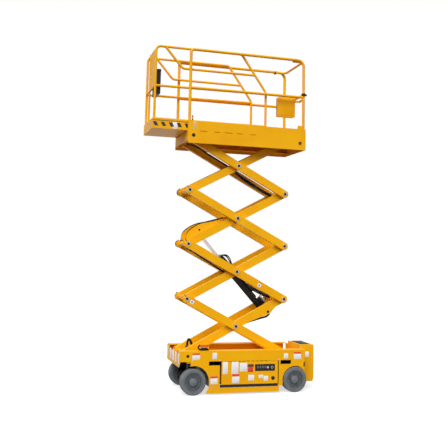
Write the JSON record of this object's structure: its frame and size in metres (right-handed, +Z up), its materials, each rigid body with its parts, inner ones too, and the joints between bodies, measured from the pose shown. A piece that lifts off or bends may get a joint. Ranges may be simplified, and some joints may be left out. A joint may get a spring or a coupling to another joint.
{
  "type": "electric scissor lift",
  "caption": "Self-propelled electric scissor lift, raised: slab chassis, crossed arm stack, guard-railed platform with a roll-out deck.",
  "frame": {"origin": "middle of the footprint on the floor", "axes": "+Z up, +X towards the steered wheels and the roll-out deck, +Y the machine's left side"},
  "size_m": [2.322, 0.76, 4.4623],
  "materials": {
    "yellow_paint": "gloss",
    "black_steel": "satin",
    "black_plastic": "matte",
    "rod_chrome": "polished",
    "pin_steel": "satin",
    "tyre_grey": "matte",
    "hub_grey": "satin",
    "roller_nylon": "satin",
    "hose_rubber": "matte"
  },
  "bodies": {
    "chassis": {"side_beams": "yellow_paint", "chassis_deck": "yellow_paint", "fork_pockets": "yellow_paint", "chassis_spine": "yellow_paint", "junction_box": "black_plastic", "front_plate": "yellow_paint", "side_panels": "yellow_paint", "pothole_guards": "black_steel", "rear_axle_stubs": "black_steel", "steer_cylinder": "black_steel", "rear_steps": "yellow_paint"},
    "knuckle_left": {"knuckle_left": "black_steel"},
    "knuckle_right": {"knuckle_right": "black_steel"},
    "wheel_front_left": {"tyre_front_left": "tyre_grey", "hub_front_left": "hub_grey"},
    "wheel_rear_left": {"tyre_rear_left": "tyre_grey", "hub_rear_left": "hub_grey"},
    "wheel_front_right": {"tyre_front_right": "tyre_grey", "hub_front_right": "hub_grey"},
    "wheel_rear_right": {"tyre_rear_right": "tyre_grey", "hub_rear_right": "hub_grey"},
    "tray_left": {"tray_left": "yellow_paint", "power_unit": "black_steel", "ground_control_panel": "black_plastic"},
    "tray_right": {"tray_right": "yellow_paint", "battery_block": "black_plastic"},
    "inner_pair_1": {"inner_arms_1": "yellow_paint", "pivot_pins_1": "pin_steel", "supply_hose": "hose_rubber"},
    "outer_pair_1": {"outer_arms_1": "yellow_paint", "lower_rollers": "roller_nylon"},
    "inner_pair_2": {"inner_arms_2": "yellow_paint", "pivot_pins_2": "pin_steel"},
    "outer_pair_2": {"outer_arms_2": "yellow_paint", "hose_run_2": "black_plastic"},
    "inner_pair_3": {"inner_arms_3": "yellow_paint", "pivot_pins_3": "pin_steel"},
    "outer_pair_3": {"outer_arms_3": "yellow_paint"},
    "inner_pair_4": {"inner_arms_4": "yellow_paint", "pivot_pins_4": "pin_steel", "upper_rollers": "roller_nylon"},
    "outer_pair_4": {"outer_arms_4": "yellow_paint", "hose_run_4": "black_plastic"},
    "cylinder_barrel": {"cylinder_barrel": "black_steel"},
    "cylinder_rod": {"cylinder_rod": "rod_chrome"},
    "platform": {"platform_deck": "yellow_paint", "platform_rails": "yellow_paint", "control_box": "yellow_paint"},
    "gate": {"entry_gate": "yellow_paint"},
    "extension": {"extension_deck": "yellow_paint", "extension_rails": "yellow_paint", "front_infill_plate": "yellow_paint", "document_box": "black_plastic"}
  },
  "joints": [
    {"name": "lift", "type": "hinge", "parent": "chassis", "child": "inner_pair_1", "pos_m": [0.624, 0, 0.48], "axis": [0, 1, 0], "range_deg": [-23.7, 31.2]},
    {"name": "centre_pivot_1", "type": "hinge", "parent": "inner_pair_1", "child": "outer_pair_1", "pos_m": [-0.03944, 0, 0.82979], "axis": [0, 1, 0], "range_deg": [-63, 48]},
    {"name": "front_pivot_2", "type": "hinge", "parent": "outer_pair_1", "child": "inner_pair_2", "pos_m": [0.624, 0, 1.17958], "axis": [0, 1, 0], "range_deg": [-48, 63]},
    {"name": "centre_pivot_2", "type": "hinge", "parent": "inner_pair_2", "child": "outer_pair_2", "pos_m": [-0.03944, 0, 1.52937], "axis": [0, 1, 0], "range_deg": [-63, 48]},
    {"name": "front_pivot_3", "type": "hinge", "parent": "outer_pair_2", "child": "inner_pair_3", "pos_m": [0.624, 0, 1.87916], "axis": [0, 1, 0], "range_deg": [-48, 63]},
    {"name": "centre_pivot_3", "type": "hinge", "parent": "inner_pair_3", "child": "outer_pair_3", "pos_m": [-0.03944, 0, 2.22895], "axis": [0, 1, 0], "range_deg": [-63, 48]},
    {"name": "front_pivot_4", "type": "hinge", "parent": "outer_pair_3", "child": "inner_pair_4", "pos_m": [0.624, 0, 2.57874], "axis": [0, 1, 0], "range_deg": [-48, 63]},
    {"name": "centre_pivot_4", "type": "hinge", "parent": "inner_pair_4", "child": "outer_pair_4", "pos_m": [-0.03944, 0, 2.92853], "axis": [0, 1, 0], "range_deg": [-63, 48]},
    {"name": "platform_level", "type": "hinge", "parent": "outer_pair_4", "child": "platform", "pos_m": [0.624, 0, 3.27832], "axis": [0, 1, 0], "range_deg": [-24.3, 31.8]},
    {"name": "cylinder_base", "type": "hinge", "parent": "inner_pair_1", "child": "cylinder_barrel", "pos_m": [-0.49983, 0, 1.01148], "axis": [0, 1, 0], "range_deg": [-70.8, 53.9]},
    {"name": "cylinder_stroke", "type": "slide", "parent": "cylinder_barrel", "child": "cylinder_rod", "axis": [0.6774, 0, 0.7356], "range_m": [-0.37, 0.484]},
    {"name": "steer_left", "type": "hinge", "parent": "chassis", "child": "knuckle_left", "pos_m": [0.542, 0.29, 0.3], "axis": [0, 0, 1], "range_deg": [-64, 64]},
    {"name": "wheel_front_left_spin", "type": "hinge", "parent": "knuckle_left", "child": "wheel_front_left", "pos_m": [0.542, 0.3275, 0.1615], "axis": [0, 1, 0], "continuous": true},
    {"name": "steer_right", "type": "hinge", "parent": "chassis", "child": "knuckle_right", "pos_m": [0.542, -0.29, 0.3], "axis": [0, 0, 1], "range_deg": [-64.5, 64.5]},
    {"name": "wheel_front_right_spin", "type": "hinge", "parent": "knuckle_right", "child": "wheel_front_right", "pos_m": [0.542, -0.3275, 0.1615], "axis": [0, 1, 0], "continuous": true},
    {"name": "wheel_rear_left_spin", "type": "hinge", "parent": "chassis", "child": "wheel_rear_left", "pos_m": [-0.82, 0.3275, 0.1615], "axis": [0, 1, 0], "continuous": true},
    {"name": "wheel_rear_right_spin", "type": "hinge", "parent": "chassis", "child": "wheel_rear_right", "pos_m": [-0.82, -0.3275, 0.1615], "axis": [0, 1, 0], "continuous": true},
    {"name": "tray_left_swing", "type": "hinge", "parent": "chassis", "child": "tray_left", "pos_m": [0.176, 0.366, 0.26], "axis": [0, 0, -1], "range_deg": [0, 90]},
    {"name": "tray_right_swing", "type": "hinge", "parent": "chassis", "child": "tray_right", "pos_m": [0.176, -0.366, 0.26], "axis": [0, 0, 1], "range_deg": [0, 90]},
    {"name": "entry_bar_lift", "type": "slide", "parent": "platform", "child": "gate", "axis": [0, 0, 1], "range_m": [0, 0.36]},
    {"name": "deck_slide", "type": "slide", "parent": "platform", "child": "extension", "axis": [1, 0, 0], "range_m": [-0.452, 0.448]}
  ],
  "couplings": [
    {"joint": "centre_pivot_1", "follows": "lift", "ratio": -2},
    {"joint": "front_pivot_2", "follows": "lift", "ratio": 2},
    {"joint": "centre_pivot_2", "follows": "lift", "ratio": -2},
    {"joint": "front_pivot_3", "follows": "lift", "ratio": 2},
    {"joint": "centre_pivot_3", "follows": "lift", "ratio": -2},
    {"joint": "front_pivot_4", "follows": "lift", "ratio": 2},
    {"joint": "centre_pivot_4", "follows": "lift", "ratio": -2},
    {"joint": "platform_level", "follows": "lift", "ratio": 1},
    {"joint": "cylinder_base", "follows": "lift", "ratio": -2.25},
    {"joint": "cylinder_stroke", "follows": "lift", "m_per_rad": 0.87},
    {"joint": "steer_right", "follows": "steer_left", "ratio": 1}
  ]
}
